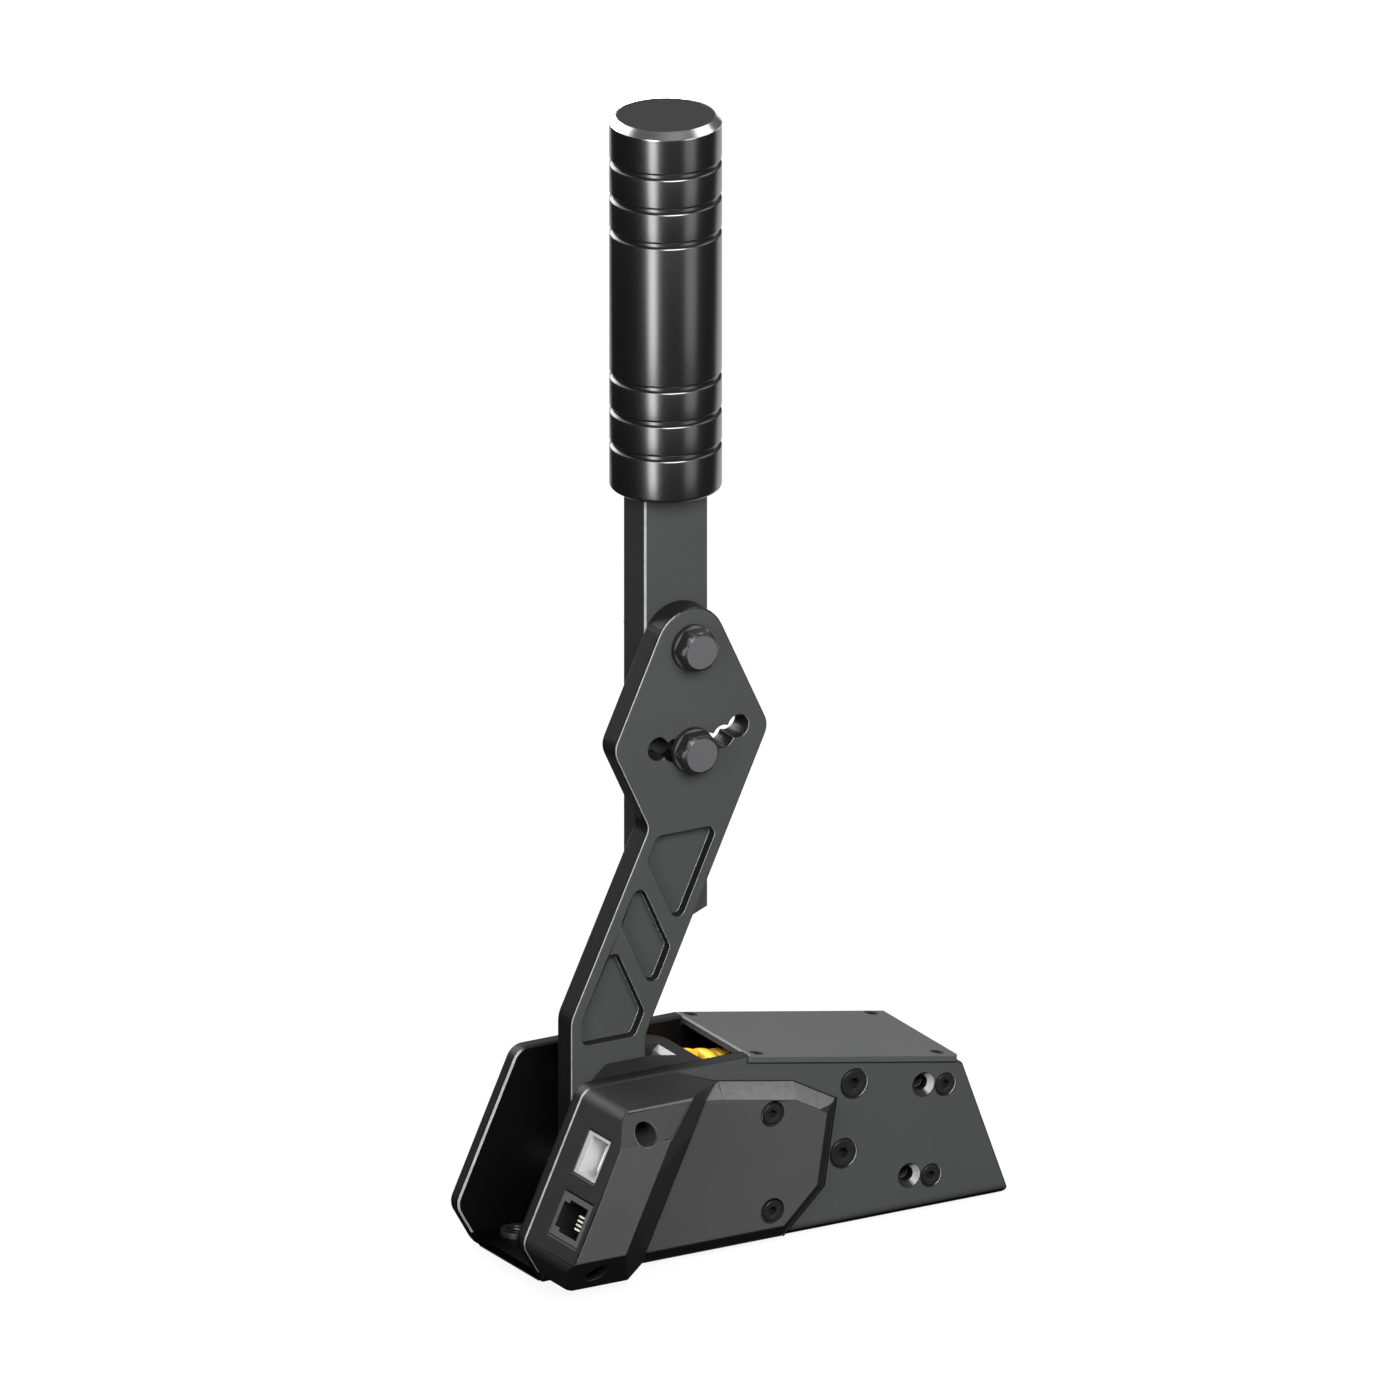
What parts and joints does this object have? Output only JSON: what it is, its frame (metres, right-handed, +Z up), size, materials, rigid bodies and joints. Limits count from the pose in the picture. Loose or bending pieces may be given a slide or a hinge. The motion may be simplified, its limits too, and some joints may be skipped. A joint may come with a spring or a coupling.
{
  "type": "sim racing handbrake",
  "caption": "Handbrake lever for racing simulators: a cranked lever plate pulls against a coil spring in a channel frame, with an angle sensor in a side housing and an adjustable grip.",
  "frame": {"origin": "centre of the base bolt pattern on the frame's underside", "axes": "+X back toward the closed tail, the way the handle is pulled; +Y to the far side, away from the sensor housing; +Z up"},
  "size_m": [0.1537, 0.0725, 0.3217],
  "materials": {
    "frame_metal": "satin dark grey coat",
    "cover_metal": "satin dark grey coat",
    "lever_metal": "dark grey anodised, bevelled",
    "bar_metal": "dark grey anodised",
    "grip_metal": "black anodised, satin",
    "grip_end": "dark matt",
    "block_metal": "dark anodised",
    "pusher_metal": "dark coat",
    "housing_plastic": "fine matt grain",
    "black_steel": "black oxide",
    "steel": "plain bright steel",
    "zinc_steel": "zinc plated",
    "bronze": "sintered bronze",
    "spring_yellow": "yellow spring paint",
    "socket_shell": "bright plated shell",
    "white_plastic": "white moulding",
    "jack_plastic": "dark grey moulding",
    "contacts": "gold plated",
    "board": "green board lacquer",
    "chip": "black moulding",
    "magnet": "nickel plated"
  },
  "bodies": {
    "frame": {"floor_plate": "frame_metal", "near_wall": "frame_metal", "far_wall": "frame_metal", "mount_inserts": "zinc_steel", "top_cover": "cover_metal", "cover_screws": "black_steel", "rear_plate": "frame_metal", "rear_screws": "black_steel", "spring_seat": "block_metal", "seat_screws": "black_steel", "tail_block": "block_metal", "tail_screws": "black_steel", "sensor_housing": "housing_plastic", "panel_screws": "black_steel", "front_screws": "black_steel", "usb_socket": "socket_shell", "usb_tongue": "white_plastic", "jack_body": "jack_plastic", "jack_contacts": "contacts", "circuit_board": "board", "board_screws": "steel", "sensor_board": "board", "angle_sensor": "chip", "board_spacers": "steel", "pivot_bushes": "bronze", "rod_bush": "bronze", "spring": "spring_yellow"},
    "lever": {"lever_plate": "lever_metal", "pivot_axle": "steel", "pivot_spacers": "steel", "axle_screw": "black_steel", "axle_washer": "zinc_steel", "magnet": "magnet", "push_pin": "steel"},
    "pusher": {"pusher_block": "pusher_metal", "push_pad": "steel", "spring_rod": "steel", "rod_washer": "zinc_steel", "rod_nut": "zinc_steel"},
    "handle": {"handle_bar": "bar_metal", "grip": "grip_metal", "grip_screw": "steel", "grip_cap": "grip_end", "upper_bolt": "zinc_steel", "lower_bolt": "zinc_steel", "bolt_washers": "zinc_steel", "bolt_nuts": "zinc_steel"}
  },
  "joints": [
    {"name": "lever_pull", "type": "hinge", "parent": "frame", "child": "lever", "pos_m": [-0.0402, 0, 0.018], "axis": [0, 1, 0], "range_deg": [0, 16], "stiffness_Nm_per_rad": 40, "springref_deg": -5.73},
    {"name": "pusher_slide", "type": "slide", "parent": "frame", "child": "pusher", "axis": [0.9848, 0, -0.1736], "range_m": [0, 0.0069], "deforming": ["spring"]},
    {"name": "handle_angle", "type": "hinge", "parent": "lever", "child": "handle", "pos_m": [-0.0142, 0, 0.1712], "axis": [0, 1, 0], "range_deg": [-30, 20]}
  ],
  "couplings": [
    {"joint": "pusher_slide", "follows": "lever_pull", "m_per_rad": 0.02459}
  ]
}
